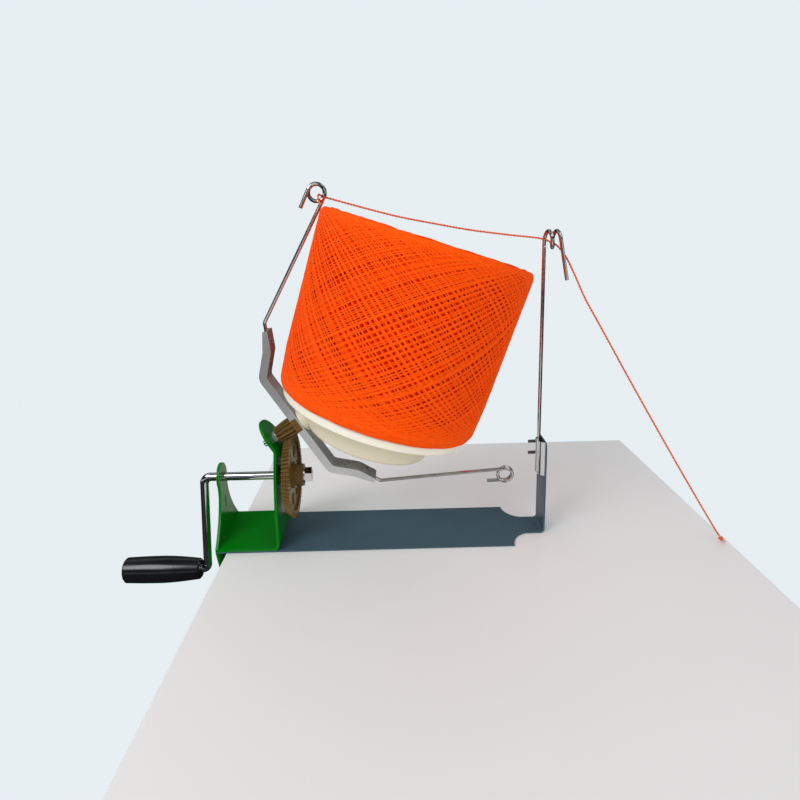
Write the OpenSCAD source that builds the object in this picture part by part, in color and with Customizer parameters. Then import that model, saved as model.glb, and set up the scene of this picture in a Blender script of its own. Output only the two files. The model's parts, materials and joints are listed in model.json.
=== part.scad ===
/* [Sheet-steel frame] */
// Thickness of the green sheet steel
sheet_t = 2.5; // [2.2:0.1:2.8]
// Width of the bracket floor and of the base strip
base_w = 77.2; // [72:0.2:84]
// Inside distance between the two ears
ear_gap = 54; // [52:0.5:57]
// Height of the crank axle above the table
axle_z = 60; // [58:0.5:63]
// Radius of the outer ear's rounded head
head_r = 13.5; // [12.5:0.5:15]
// Radius of the tilted tab's rounded head
tab_r = 20; // [18.5:0.5:21]
// Inside radius of the sheet's bends
bend_r = 3; // [2.5:0.5:4]
// Length of the slot in the outer ear
slot_l = 12; // [10:1:14]
// Width of the slot in the outer ear
slot_w = 3.2; // [2.8:0.2:4]

/* [Base strip] */
// Thickness of the base strip
strip_t = 1.5; // [1.3:0.1:1.8]
// Length of the base strip to its upright end
strip_l = 305.8; // [302:0.2:312]
// Width of the strip's narrow upright end
tongue_w = 31; // [28:0.5:34]
// Height of the upright end above the table
tongue_z = 91; // [88:1:94]
// Length of each concave shoulder
shoulder_l = 18; // [16:1:21]
// Straight run between the shoulder and the upright end
tongue_run = 15.5; // [14:0.5:17]
// Angle by which the upright end leans over towards the ball
lean = 1; // [0.5:0.1:1.5]
// Diameter of the base screws
base_screw_d = 3; // [2.6:0.2:3.4]
// Distance between the two base screws
base_screw_gap = 52; // [48:1:56]

/* [Table clamp] */
// Distance from the table top to the jaw's upper face
jaw_drop = 56; // [54:1:60]
// Length of the jaw under the table
jaw_l = 42; // [40:1:46]
// Width of the jaw
jaw_w = 44; // [40:1:48]
// Distance of the clamp screw from the table's edge
screw_x = 26; // [24:0.5:28]
// Diameter of the clamp screw
screw_d = 8; // [7.5:0.1:8.5]
// Length of the clamp screw below its pad
screw_l = 60; // [56:1:64]
// Thickness of the table top that the pad is closed on
table_t = 30; // [28:0.5:32]
// Diameter of the clamp pad
pad_d = 24; // [22:0.5:26]
// Thickness of the clamp pad
pad_t = 5; // [4.5:0.1:5.5]
// Length of the clamp's turning bar
bar_l = 50; // [46:1:54]
// Diameter of the clamp's turning bar
bar_d = 5; // [4.5:0.1:5.5]

/* [Crank] */
// Diameter of the crank rod
axle_d = 8; // [7.8:0.1:8.2]
// Distance from the axle's centre to the grip's centre
crank_throw = 98.3; // [94:0.5:102]
// Distance of the crank's elbow from the outer ear
elbow_out = 17.8; // [16.5:0.1:19]
// Angle by which the crank arm leans away from the ear
crank_splay = 4.2; // [3.6:0.1:4.8]
// Radius of the elbow's centre line
elbow_r = 7; // [6.5:0.1:7.5]
// Radius of the bend into the grip
wrist_r = 5.5; // [5.2:0.1:5.8]
// Length of the grip
grip_l = 74.7; // [71:0.1:78]
// Diameter of the grip's outer end
grip_end_d = 25; // [24:0.1:26]
// Diameter of the grip at its middle
grip_mid_d = 26.5; // [25.6:0.1:27.5]
// Diameter of the grip beside the arm
grip_neck_d = 20.5; // [19.5:0.1:21.5]

/* [Crank gear and flyer pinion] */
// Module of the crank gear's teeth at their outer end
crank_module = 1.25; // [1.22:0.01:1.28]
// Teeth on the crank gear
crank_teeth = 64; // [64:2:64]
// Teeth on the flyer pinion
pinion_teeth = 12; // [12:1:12]
// Face width of the crank gear's teeth
crank_face = 8.5; // [8:0.1:9]
// Distance from the inner ear to the outer ends of the crank gear's teeth
gear_out = 12.75; // [12.5:0.05:13.2]
// Angle of the flyer's axis above the horizontal
flyer_tilt = 32.5; // [32:0.1:33]
// Distance from the outer ends of the meshing teeth to the flyer's hub centre
hub_past = 12.8; // [12.4:0.1:13.4]
// Length of the flyer pinion's teeth
pinion_l = 20; // [19.5:0.1:20.4]
// Backlash of the meshing teeth
backlash = 0.25; // [0.2:0.01:0.3]

/* [Flyer] */
// Diameter of the fixed spindle that the flyer turns on
spindle_d = 6; // [5.8:0.1:6.2]
// Width of the flyer's pressed channel
channel_w = 22; // [21:0.1:23]
// Depth of the flyer's pressed channel
channel_d = 7.2; // [7:0.1:7.4]
// Thickness of the flyer's steel
channel_t = 1.6; // [1.4:0.05:1.8]
// Half the length of the channel's straight middle
arm_straight = 52; // [51:0.5:54]
// Width of the pinion's end block along the channel
block_w = 13; // [12.5:0.1:13.5]
// Diameter of the two flyer wires
wire_d = 3.2; // [3:0.05:3.4]
// Radius of an eye's centre line
eye_r = 6.9; // [6.6:0.1:7.2]
// Length of the wire's tail past its eye
eye_tail = 17; // [15:0.5:19]

/* [Drive bevel and ring gear] */
// Module of the ring gear's teeth at their outer end
ring_module = 1.342; // [1.32:0.002:1.36]
// Teeth on the ring gear
ring_teeth = 73; // [73:2:73]
// Teeth on the drive bevel
drive_teeth = 12; // [12:1:12]
// Face width of the ring gear's teeth
ring_face = 7; // [6.6:0.1:7.2]
// Distance from the flyer's hub centre to the drive bevel's large end
drive_s = 15.2; // [15:0.1:15.6]
// Angle of the ball's axis away from the vertical
ball_tilt = 18.5; // [18.2:0.1:18.8]

/* [Bobbin and ball] */
// Distance from the crossing of the axes down to the bobbin's lower edge
bobbin_drop = 52; // [51.6:0.1:52.6]
// Radius of the bobbin's flange
rim_r = 85.8; // [84:0.2:87]
// Height of the flange's rolled rim
rim_h = 7.5; // [7:0.1:8]
// Wall thickness of the bobbin
bobbin_t = 2.5; // [2.2:0.1:2.8]
// Height of the bobbin's cone
cone_h = 158; // [150:1:160]
// Outer radius of the cone at its foot
cone_foot_r = 30; // [27:0.5:33]
// Outer radius of the cone at its top
cone_top_r = 22; // [20:0.5:25]
// Radius of the ball of yarn at its foot
ball_foot_r = 89.5; // [87:0.5:91]
// Radius of the ball of yarn at its widest
ball_r = 95; // [93:0.5:96]
// Height of the ball's top above the flange's lower edge
ball_top = 164.5; // [162:0.5:166]
// Rounding of the ball's upper edge
ball_round = 8; // [7:0.5:12]
// Depth of the hollow in the ball's top
ball_dish = 14; // [10:1:18]
// Diameter of the bobbin's shaft
shaft_d = 8; // [7.8:0.1:8.2]

/* [Gear housing] */
// Outer radius of the housing at its floor
bowl_floor_r = 56.5; // [56:0.1:57.5]
// Outer radius of the housing at its mouth
bowl_mouth_r = 58; // [57.6:0.1:59]
// Wall thickness of the housing
bowl_t = 2; // [1.8:0.1:2.2]
// Radius of the carrier plate
carrier_r = 50.5; // [50:0.1:51.5]
// Thickness of the carrier plate
carrier_t = 3; // [2.8:0.1:3.2]

/* [Yarn guide] */
// Diameter of the guide's wire
post_d = 3.3; // [3.1:0.05:3.5]
// Height of the post's straight part above the table
post_z = 272; // [266:1:278]
// Radius of the pigtail's centre line
pigtail_r = 6.7; // [6.4:0.1:7.2]
// Pitch of the pigtail's turns
pigtail_pitch = 7; // [6.6:0.1:9]
// Length of the pigtail's straight tail
pigtail_tail = 34; // [32:1:38]
// Length of the sleeve that holds the post
sleeve_l = 33; // [31:0.5:35]
// Diameter of the sleeve's screws
sleeve_screw_d = 3; // [2.8:0.1:3.2]
// Diameter of the yarn
yarn_d = 1.8; // [1.6:0.1:2]

/* [Hidden] */
$fn = 64;
run_gap = 0.05;
fit_gap = 0.3;
hub_washer_r = 7.8;
hub_washer_t = 1.4;
crank_nut_af = 13;
crank_nut_t = 6.4;
pressure = 20;

// Crank gear and pinion: both cones meet at the apex on the crank's axis
crank_cone = atan2(sin(flyer_tilt), pinion_teeth / crank_teeth + cos(flyer_tilt));
pinion_cone = flyer_tilt - crank_cone;
crank_reach = crank_module * crank_teeth / 2 / sin(crank_cone);
inner_ear_x = ear_gap + sheet_t;
gear_x = inner_ear_x + gear_out;
apex_x = gear_x - crank_reach * cos(crank_cone);
hub_dist = crank_reach * cos(pinion_cone) + hub_past;
hub_x = apex_x + hub_dist * cos(flyer_tilt);
hub_z = axle_z + hub_dist * sin(flyer_tilt);
long_shift = 0.25;

// Along the flyer's axis, measured from the hub's centre
channel_back = -channel_d / 2;
web_s = channel_d / 2 - channel_t;
pinion_front = -4;
pinion_back = pinion_front - pinion_l;
washer_t = 0.8;
jam_nut_t = 3.2;
outer_nut_t = 5;
tab_s = pinion_back - 0.25 - washer_t - jam_nut_t - sheet_t / 2;
spindle_back = tab_s - sheet_t / 2 - outer_nut_t - 4;
ball_lean = 90 - flyer_tilt - ball_tilt;
drive_cone = atan2(sin(ball_lean), ring_teeth / drive_teeth + cos(ball_lean));
ring_cone = ball_lean - drive_cone;
ring_reach = ring_module * ring_teeth / 2 / sin(ring_cone);
crossing = drive_s + ring_reach * cos(drive_cone);
drive_toe = drive_s + ring_face * cos(drive_cone);
sleeve_r = 4.6;
socket_s = drive_toe + 1.1;
socket_l = 10;
spindle_front = socket_s + 8.5;

// Bend line of the tilted tab
ear_mid_x = ear_gap + sheet_t / 2;
bend_p = (hub_x + tab_s * cos(flyer_tilt) - ear_mid_x) / sin(flyer_tilt);
bend_z = hub_z + tab_s * sin(flyer_tilt) + bend_p * cos(flyer_tilt);
bend_run = (bend_r + 1 + sheet_t / 2) * tan(flyer_tilt / 2);
ear_top_z = bend_z - bend_run;
floor_z = strip_t + sheet_t;

// Bobbin frame, measured up from the flange's lower edge
crossing_x = hub_x + crossing * cos(flyer_tilt);
crossing_z = hub_z + crossing * sin(flyer_tilt);
bobbin_x = crossing_x - bobbin_drop * sin(ball_tilt);
bobbin_z = crossing_z - bobbin_drop * cos(ball_tilt);
ring_q = bobbin_drop - ring_reach * cos(ring_cone);
ring_toe_q = ring_q + ring_face * cos(ring_cone);
carrier_top = -5;
carrier_floor = carrier_top - carrier_t;
boss_top = 2;
boss_r = 9;
hub_q = boss_top + 1.3;
plate_q = 4;
shaft_foot = ring_q - 1.7;
shaft_top = 40;
bowl_floor = ring_q - 2.7;
bowl_foot = bowl_floor - 1.6;
bowl_mouth = -2.5;
pod_r = 12.2;
lug_q = 13;
lug_ring_r = carrier_r - 4.3;
lug_angles = [20, 140, 260];
lug_reach = bowl_floor_r - bowl_t / 2
    + (bowl_mouth_r - bowl_floor_r) * (-lug_q - bowl_floor) / (bowl_mouth - bowl_floor);

// Arm profile in the flyer's own plane, as [along the axis, out from it]
arm_knee = [18, arm_straight + 17.5];
arm_end = [26, arm_straight + 33.5];
arm_bend_r = 9;
half_arm = round_path([[0, 0], [0, arm_straight], arm_knee, arm_end], arm_bend_r, 6);
arm_dir = unit(arm_end - arm_knee);
arm_in = [arm_dir[1], -arm_dir[0]];
wire_line = web_s - wire_d / 2 - run_gap;
hook_back = 11;
hook_slot = 2.2;
flange_tip = 2.6;
wire_out = 6.5;
// Upper corner of the ball beside an eye, and the eye's place from it
ball_corner = [crossing, 0] + (ball_top - bobbin_drop) * turned(ball_lean)
    + ball_r * turned(ball_lean + 90);
eye_c = ball_corner + [0.88, 9.07];
tail_angle = 120.9;

// Clamp, from the table down
jaw_z = -jaw_drop;
pad_z = -table_t;
screw_foot = pad_z - pad_t - screw_l;
bar_z = screw_foot + 4;
weld_nut_t = 8;
weld_nut_af = 17;

// Crank rod corners in the plane of its arm
grip_z = axle_z - crank_throw;
elbow_x = -sheet_t - elbow_out + 2.5;
wrist_x = elbow_x - crank_throw * tan(crank_splay);
grip_right = wrist_x - 6.4;
grip_left = grip_right - grip_l;
axle_end = gear_x + 16.2;
hub_right = gear_x + 8;

// Upright end, measured from the centre of its bend
tongue_c = [strip_l - bend_r - strip_t, strip_t + bend_r];
tongue_h = (tongue_z - tongue_c[1]) / cos(lean);
sleeve_t = 1.2;
sleeve_wall_r = post_d / 2 + run_gap + sleeve_t;
sleeve_w = 13;
sleeve_rib_w = 12;
sleeve_rib_h = 5;
sleeve_rib_y = -7.6;
post_x = bend_r - sleeve_wall_r;
sleeve_foot = tongue_h - sleeve_l + 0.5;
post_foot = sleeve_foot - 1.5;
post_h = (post_z - tongue_c[1]) / cos(lean);
sleeve_screw_y = 7.5;
sleeve_screw_z = [sleeve_foot + 15.6, sleeve_foot + 27];
sleeve_screw_l = 12.5;
sleeve_nut_af = 5.5;
sleeve_nut_t = 2.4;
pigtail_splay = 6.5;

// Routes of the free yarn, as round numbers
takeup_route = [[105.9, -3, 311.8], [105.9, -4.8, 311.1], [105.9, -6.2, 309.6], [106.2, -6.9, 307.4],
    [107.4, -8, 305.2], [109.6, -9.8, 304]];
lead_route = [[105.9, -2.4, 312], [106.2, -0.4, 312], [107.4, 1.6, 311.4], [109.6, 2.9, 310.3],
    [113.5, 3, 309.2], [143, 1.6, 300.8], [173.4, 0, 292.8], [203, -1.6, 286.7], [232.8, -3.2, 281],
    [265, -5, 276.4], [285, -6, 274], [294.5, -6.4, 272.4]];
feed_route = [[295.5, -6.5, 272.2], [298.8, -6.6, 270.6], [302, -6.8, 268.3], [306.2, -7.3, 266.6],
    [314, -8.6, 256.8], [321.3, -10.2, 242.9], [331.4, -12.2, 222], [345, -15, 198.6],
    [380, -23, 138.2], [420, -32, 71], [452, -39.5, 18.6], [460, -41.5, 6.4]];
knot_at = [461.4, -41.8, 4.2];

function unit(v) = v / norm(v);
function turned(a) = [cos(a), sin(a)];
function involute(a) = tan(a) * 180 / PI - a;

// Half the angle of a bevel tooth at height h over the pitch circle of its large end
function half_tooth(teeth, m, shift, cone, h) =
    let (back_r = teeth * m / 2 / cos(cone))
    let (base_r = back_r * cos(pressure))
    let (r = max(back_r + h, base_r))
    let (at_pitch = (m * (PI / 4 + shift * tan(pressure)) - backlash / 2) / back_r * 180 / PI)
    let (half = at_pitch + involute(pressure) - involute(acos(base_r / r)))
    half * (back_r + h) / (teeth * m / 2 + h * cos(cone));

// Outline of a bevel gear's large end, with a tooth centred on the first axis
function bevel_outline(teeth, m, shift, cone) =
    let (top = m * (1 + shift), foot = -m * (1.25 - shift), steps = 3)
    [for (i = [0:teeth - 1], side = [-1, 1], k = [0:steps])
        let (u = side < 0 ? k / steps : 1 - k / steps)
        let (h = foot + u * (top - foot))
        let (a = 360 * i / teeth + side * half_tooth(teeth, m, shift, cone, h))
        (teeth * m / 2 + h / cos(cone)) * turned(a)];

// Teeth between two distances from the cones' apex, which is the origin
module bevel_run(teeth, m, shift, cone, large, small) {
    heel = m * teeth / 2 / tan(cone);
    translate([0, 0, large])
        mirror([0, 0, 1])
            linear_extrude(height = large - small, scale = small / large)
                scale(large / heel)
                    polygon(bevel_outline(teeth, m, shift, cone));
}

// A line of points with its inner corners rounded by arcs
function round_path(points, radius, steps) = [
    for (i = [0:len(points) - 1])
        each (i == 0 || i == len(points) - 1)
            ? [points[i]]
            : corner_arc(points[i - 1], points[i], points[i + 1], radius, steps)
];
function corner_arc(before, at, after, radius, steps) =
    let (u = unit(at - before), v = unit(after - at))
    let (turn = atan2(u[0] * v[1] - u[1] * v[0], u * v))
    let (run = radius * tan(abs(turn) / 2), side = sign(turn))
    let (centre = at - run * u + side * radius * [-u[1], u[0]])
    [for (k = [0:steps])
        let (a = atan2(u[1], u[0]) - side * 90 + turn * k / steps)
        centre + radius * turned(a)];

// The same line moved sideways, to the right of its direction for a positive distance
function offset_path(points, d) = [
    for (i = [0:len(points) - 1])
        let (u = unit(points[max(i, 1)] - points[max(i, 1) - 1]))
        let (v = unit(points[min(i + 1, len(points) - 1)] - points[min(i, len(points) - 2)]))
        let (n = [u[1], -u[0]], m = [v[1], -v[0]])
        points[i] + d * (n + m) / (1 + n * m)
];
function band(points, from, to) = concat(offset_path(points, from), reversed(offset_path(points, to)));
function reversed(list) = [for (i = [len(list) - 1:-1:0]) list[i]];
function mirrored(points) = [for (p = reversed(points)) [p[0], -p[1]]];

// A round bar swept along points, its rings set out from one steady direction
module sweep(path, d, sides, steady) {
    last = len(path) - 1;
    rings = [for (i = [0:last])
        let (t = unit(path[min(i + 1, last)] - path[max(i - 1, 0)]))
        let (u = unit(cross(t, steady)))
        let (v = cross(t, u))
        for (k = [0:sides - 1])
            path[i] + d / 2 * (cos(360 * k / sides) * u + sin(360 * k / sides) * v)];
    skin = [for (i = [0:last - 1], k = [0:sides - 1])
        let (a = i * sides + k, b = i * sides + (k + 1) % sides)
        each [[a, b + sides, b], [a, a + sides, b + sides]]];
    ends = [[for (k = [0:sides - 1]) k], [for (k = [sides - 1:-1:0]) last * sides + k]];
    polyhedron(rings, concat(skin, ends));
}

// A bent round rod in the flat plane: its bends swell a hair, and the straights run into them
bend_lap = 0.5;
bend_swell = 0.2;
module bent_rod(points, radii, d) {
    last = len(points) - 1;
    dirs = [for (i = [0:last - 1]) unit(points[i + 1] - points[i])];
    turns = [for (i = [1:last - 1])
        atan2(dirs[i - 1][0] * dirs[i][1] - dirs[i - 1][1] * dirs[i][0], dirs[i - 1] * dirs[i])];
    runs = concat([0], [for (i = [1:last - 1]) radii[i - 1] * tan(abs(turns[i - 1]) / 2)], [0]);
    for (i = [0:last - 1]) {
        from = runs[i] - (i == 0 ? 0 : bend_lap);
        to = norm(points[i + 1] - points[i]) - runs[i + 1] + (i == last - 1 ? 0 : bend_lap);
        translate(points[i] + from * dirs[i])
            rotate([0, 0, atan2(dirs[i][1], dirs[i][0])])
                rotate([0, 90, 0])
                    cylinder(d = d, h = to - from);
    }
    for (i = [1:last - 1]) {
        side = sign(turns[i - 1]);
        heading = atan2(dirs[i - 1][1], dirs[i - 1][0]);
        start = heading - side * 90 + min(turns[i - 1], 0);
        centre = points[i] - runs[i] * dirs[i - 1]
            + side * radii[i - 1] * [-dirs[i - 1][1], dirs[i - 1][0]];
        translate(centre)
            rotate([0, 0, start])
                rotate_extrude(angle = abs(turns[i - 1]))
                    translate([radii[i - 1], 0])
                        circle(d = d + bend_swell);
    }
}

module at_crank() {
    translate([0, 0, axle_z])
        rotate([0, 90, 0])
            children();
}
module at_flyer() {
    translate([hub_x, 0, hub_z])
        rotate([0, 90 - flyer_tilt, 0])
            children();
}
module at_bobbin() {
    translate([bobbin_x, 0, bobbin_z])
        rotate([0, ball_tilt, 0])
            children();
}
module at_tongue() {
    translate([tongue_c[0], 0, tongue_c[1]])
        rotate([0, -lean, 0])
            children();
}
// Turns a drawing so that its first axis is the row's Y, its second Z and its depth X
module upright() {
    rotate([90, 0, 90])
        children();
}
// Turns a drawing so that its first axis is X, its second Z and it is centred on y = 0
module side_on(width) {
    rotate([90, 0, 0])
        translate([0, 0, -width / 2])
            linear_extrude(width)
                children();
}
module hex_nut(across, thick, bore) {
    difference() {
        cylinder(d = across / cos(30), h = thick, $fn = 6);
        translate([0, 0, -1])
            cylinder(d = bore, h = thick + 2);
    }
}
module ring(outer_r, inner_r, height) {
    difference() {
        cylinder(r = outer_r, h = height);
        translate([0, 0, -1])
            cylinder(r = inner_r, h = height + 2);
    }
}
module sheet_bend(inner, thick, width, angle) {
    rotate([90, 0, 0])
        rotate_extrude(angle = angle)
            translate([inner, -width / 2])
                square([thick, width]);
}

// Outer ear with the drop to the clamp's jaw
ear_foot_z = floor_z;
ear_neck_z = axle_z - 12;
ear_neck_w = head_r - 1.5;
drop_foot_z = jaw_z + bend_r;
function ear_half(z) = ear_neck_w
    + (base_w / 2 - ear_neck_w) * pow((ear_neck_z - z) / (ear_neck_z - ear_foot_z), 1.7);
function ear_side(side) = [for (k = [0:16])
    let (z = ear_foot_z + (ear_neck_z - ear_foot_z) * k / 16)
    [side * ear_half(z), z]];

module side_plate() {
    color("green") {
        translate([-sheet_t, 0, 0])
            upright()
                linear_extrude(sheet_t)
                    difference() {
                        union() {
                            polygon(concat([[-jaw_w / 2, drop_foot_z], [jaw_w / 2, drop_foot_z],
                                [base_w / 2, 0]], ear_side(1), reversed(ear_side(-1)),
                                [[-base_w / 2, 0]]));
                            translate([0, axle_z])
                                circle(head_r);
                            translate([-ear_neck_w, ear_neck_z - 1])
                                square([2 * ear_neck_w, 8]);
                        }
                        translate([0, axle_z])
                            circle(d = axle_d + 3);
                        translate([-slot_w / 2, (floor_z + axle_z) / 2 - 4])
                            square([slot_w, slot_l]);
                    }
        translate([bend_r, 0, drop_foot_z])
            mirror([0, 0, 1])
                rotate([0, 0, 180])
                    sheet_bend(bend_r, sheet_t, jaw_w, 90);
        difference() {
            translate([bend_r, -jaw_w / 2, jaw_z - sheet_t])
                cube([jaw_l - bend_r, jaw_w, sheet_t]);
            translate([screw_x, 0, jaw_z - sheet_t - 1])
                cylinder(d = screw_d + 1, h = sheet_t + 2);
        }
    }
}

// Bracket floor and inner ear with its tilted tab
function bracket_side(side) = [for (k = [0:20])
    let (z = floor_z + bend_r + (ear_top_z - floor_z - bend_r) * k / 20)
    let (u = (z - floor_z) / (ear_top_z - floor_z))
    [side * (base_w / 2 - (base_w / 2 - tab_r) * pow(u, 2.2)), z]];

module gear_bracket() {
    color("green") {
        difference() {
            translate([0, -base_w / 2, strip_t])
                cube([ear_gap - bend_r, base_w, sheet_t]);
            base_holes();
        }
        translate([ear_gap - bend_r, 0, floor_z + bend_r])
            rotate([0, 90, 0])
                sheet_bend(bend_r, sheet_t, base_w, 90);
        translate([ear_gap, 0, 0])
            upright()
                linear_extrude(sheet_t)
                    difference() {
                        polygon(concat(bracket_side(1), reversed(bracket_side(-1))));
                        translate([0, axle_z])
                            circle(d = axle_d + 3);
                    }
        translate([ear_gap - bend_r - 1, 0, ear_top_z])
            sheet_bend(bend_r + 1, sheet_t, 2 * tab_r, flyer_tilt);
        at_flyer()
            translate([0, 0, tab_s - sheet_t / 2])
                difference() {
                    union() {
                        cylinder(r = tab_r, h = sheet_t);
                        translate([0, -tab_r, 0])
                            cube([-bend_p - bend_run, 2 * tab_r, sheet_t]);
                    }
                    translate([0, 0, -1])
                        cylinder(d = spindle_d + 2 * run_gap, h = sheet_t + 2);
                }
    }
}

// Strip along the table, with concave shoulders and an upright end
function shoulder(side) = [for (k = [0:12])
    let (a = 90 * k / 12, depth = (base_w - tongue_w) / 2)
    let (end = tongue_c[0] - tongue_run + bend_r + 2)
    [end - shoulder_l * cos(a), side * (base_w / 2 - depth * sin(a))]];

base_screw_top = floor_z - 0.8;
module base_holes() {
    for (side = [-1, 1])
        translate([ear_gap / 2, side * base_screw_gap / 2, -1])
            cylinder(d = base_screw_d + 2 * run_gap, h = base_screw_top + 1.1);
}

module base_strip() {
    color("slategray") {
        difference() {
            linear_extrude(strip_t)
                polygon(concat([[0, base_w / 2]], shoulder(1), [[tongue_c[0], tongue_w / 2],
                    [tongue_c[0], -tongue_w / 2]], reversed(shoulder(-1)), [[0, -base_w / 2]]));
            base_holes();
            for (side = [-1, 1])
                translate([ear_gap / 2, side * base_screw_gap / 2, -0.01])
                    cylinder(r1 = base_screw_d - 0.25, r2 = base_screw_d / 2, h = strip_t);
        }
        translate([tongue_c[0], 0, tongue_c[1]])
            rotate([0, 90, 0])
                sheet_bend(bend_r, strip_t, tongue_w, 90 + lean);
        at_tongue()
            upright_tongue();
    }
}
module upright_tongue() {
    corner = 5;
    translate([bend_r, 0, 0])
        upright()
            linear_extrude(strip_t)
                difference() {
                    union() {
                        translate([-tongue_w / 2, 0])
                            square([tongue_w, tongue_h - corner]);
                        translate([-tongue_w / 2 + corner, tongue_h - corner - 1])
                            square([tongue_w - 2 * corner, corner + 1]);
                        for (side = [-1, 1])
                            translate([side * (tongue_w / 2 - corner), tongue_h - corner])
                                circle(corner);
                    }
                    for (z = sleeve_screw_z)
                        translate([sleeve_screw_y, z])
                            circle(d = sleeve_screw_d + 2 * run_gap);
                }
}

module base_screws() {
    color("silver")
        for (side = [-1, 1])
            translate([ear_gap / 2, side * base_screw_gap / 2, 0]) {
                cylinder(r1 = base_screw_d - 0.35, r2 = base_screw_d / 2, h = strip_t - 0.1);
                cylinder(d = base_screw_d, h = base_screw_top);
            }
}

// Plain bushes with a flange on the ear's outer side
bush_flange_t = 1.6;
module bush(ear_x, flange_side) {
    at_crank()
        difference() {
            union() {
                translate([0, 0, ear_x])
                    cylinder(d = axle_d + 3 - 2 * run_gap, h = sheet_t);
                translate([0, 0, flange_side < 0 ? ear_x - bush_flange_t : ear_x + sheet_t])
                    cylinder(d = axle_d + 7, h = bush_flange_t);
            }
            translate([0, 0, ear_x - 5])
                cylinder(d = axle_d + 2 * run_gap, h = 12);
        }
}
module axle_bushes() {
    color("tan") {
        bush(-sheet_t, -1);
        bush(ear_gap, -1);
    }
}

module weld_nut() {
    color("gray")
        translate([screw_x, 0, jaw_z - sheet_t - weld_nut_t])
            hex_nut(weld_nut_af, weld_nut_t, screw_d + 2 * run_gap);
}
module clamp_screw() {
    color("silver")
        translate([screw_x, 0, 0])
            difference() {
                union() {
                    translate([0, 0, screw_foot])
                        cylinder(d = screw_d, h = pad_z - pad_t - screw_foot - fit_gap);
                    translate([0, 0, pad_z - pad_t - 1])
                        cylinder(d = screw_d - 3, h = 3.6);
                    translate([0, 0, screw_foot])
                        cylinder(d = screw_d + 4, h = 9);
                }
                translate([0, -10, bar_z])
                    rotate([-90, 0, 0])
                        cylinder(d = bar_d + 2 * run_gap, h = 20);
            }
}
module clamp_bar() {
    color("silver")
        translate([screw_x, -bar_l / 2, bar_z])
            rotate([-90, 0, 0]) {
                cylinder(d = bar_d, h = bar_l);
                for (y = [-1.5, bar_l - 1.5])
                    translate([0, 0, y])
                        cylinder(d = bar_d + 2.5, h = 3);
            }
}
module clamp_pad() {
    color("black")
        translate([screw_x, 0, pad_z - pad_t])
            difference() {
                union() {
                    cylinder(d = pad_d - 2, h = pad_t);
                    translate([0, 0, 1])
                        cylinder(d = pad_d, h = pad_t - 1);
                }
                translate([0, 0, -1])
                    cylinder(d = screw_d - 3 + 2 * run_gap, h = 4);
            }
}

module crank_rod() {
    color("silver")
        rotate([90, 0, 0])
            bent_rod([[axle_end, axle_z], [elbow_x, axle_z], [wrist_x, grip_z],
                [grip_left + 4, grip_z]], [elbow_r, wrist_r], axle_d);
}

module crank_gear() {
    web = gear_x - 5.2;
    toe = crank_reach * cos(crank_cone) - crank_face * cos(crank_cone);
    color("peru")
        at_crank()
            difference() {
                union() {
                    translate([0, 0, apex_x])
                        bevel_run(crank_teeth, crank_module, -long_shift, crank_cone,
                            crank_reach * cos(crank_cone), toe);
                    translate([0, 0, inner_ear_x + fit_gap])
                        cylinder(r = 9, h = gear_x - inner_ear_x - fit_gap);
                    translate([0, 0, gear_x - 1])
                        cylinder(r = 10.5, h = hub_right - gear_x + 1);
                }
                translate([0, 0, web + 3])
                    ring(crank_module * crank_teeth / 2 - 6, 12.5, 12);
                translate([0, 0, web - 12])
                    ring(crank_module * crank_teeth / 2 - 9, 9, 12);
                for (i = [0:5])
                    rotate([0, 0, 60 * i + 30])
                        translate([22.5, 0, web - 1])
                            cylinder(r = 6.2, h = 6);
                translate([0, 0, inner_ear_x - 1])
                    cylinder(d = axle_d + 2 * run_gap, h = 30);
            }
}
module crank_nut() {
    color("silver")
        at_crank() {
            translate([0, 0, hub_right])
                ring(hub_washer_r, axle_d / 2 + run_gap, hub_washer_t);
            translate([0, 0, hub_right + hub_washer_t])
                hex_nut(crank_nut_af, crank_nut_t, axle_d + 2 * run_gap);
        }
}

// Grip outline as [radius, along]
grip_curve = [for (k = [0:18])
    let (u = k / 18, end = grip_end_d / 2, mid = grip_mid_d / 2, neck = grip_neck_d / 2)
    [u < 0.45 ? end + (mid - end) * sin(u / 0.45 * 90) : neck + (mid - neck) * cos((u - 0.45) / 0.55 * 90),
        1.5 + u * (grip_l - 3)]];
module grip() {
    color("black")
        translate([grip_left, 0, grip_z])
            rotate([0, 90, 0])
                rotate_extrude()
                    polygon(concat([[axle_d / 2 + fit_gap, 4], [7, 4], [7, 0],
                        [grip_end_d / 2 - 1.5, 0]], grip_curve,
                        [[grip_neck_d / 2 - 1.5, grip_l], [axle_d / 2 + fit_gap, grip_l]]));
}
module grip_cap() {
    color("silver")
        translate([grip_left + 1, 0, grip_z])
            rotate([0, 90, 0])
                cylinder(r = 6.4, h = 3);
}

module spindle() {
    color("silver")
        at_flyer()
            translate([0, 0, spindle_back])
                cylinder(d = spindle_d, h = spindle_front - spindle_back);
}
module spindle_nuts() {
    bore = spindle_d + 2 * run_gap;
    color("silver")
        at_flyer() {
            translate([0, 0, tab_s - sheet_t / 2 - outer_nut_t])
                hex_nut(10, outer_nut_t, bore);
            translate([0, 0, tab_s + sheet_t / 2])
                hex_nut(10, jam_nut_t, bore);
            translate([0, 0, tab_s + sheet_t / 2 + jam_nut_t])
                ring(6, bore / 2, washer_t);
        }
}
module front_washer() {
    color("silver")
        at_flyer()
            translate([0, 0, drive_toe + 0.15])
                ring(4.5, spindle_d / 2 + run_gap, socket_s - drive_toe - 0.3);
}

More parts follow.
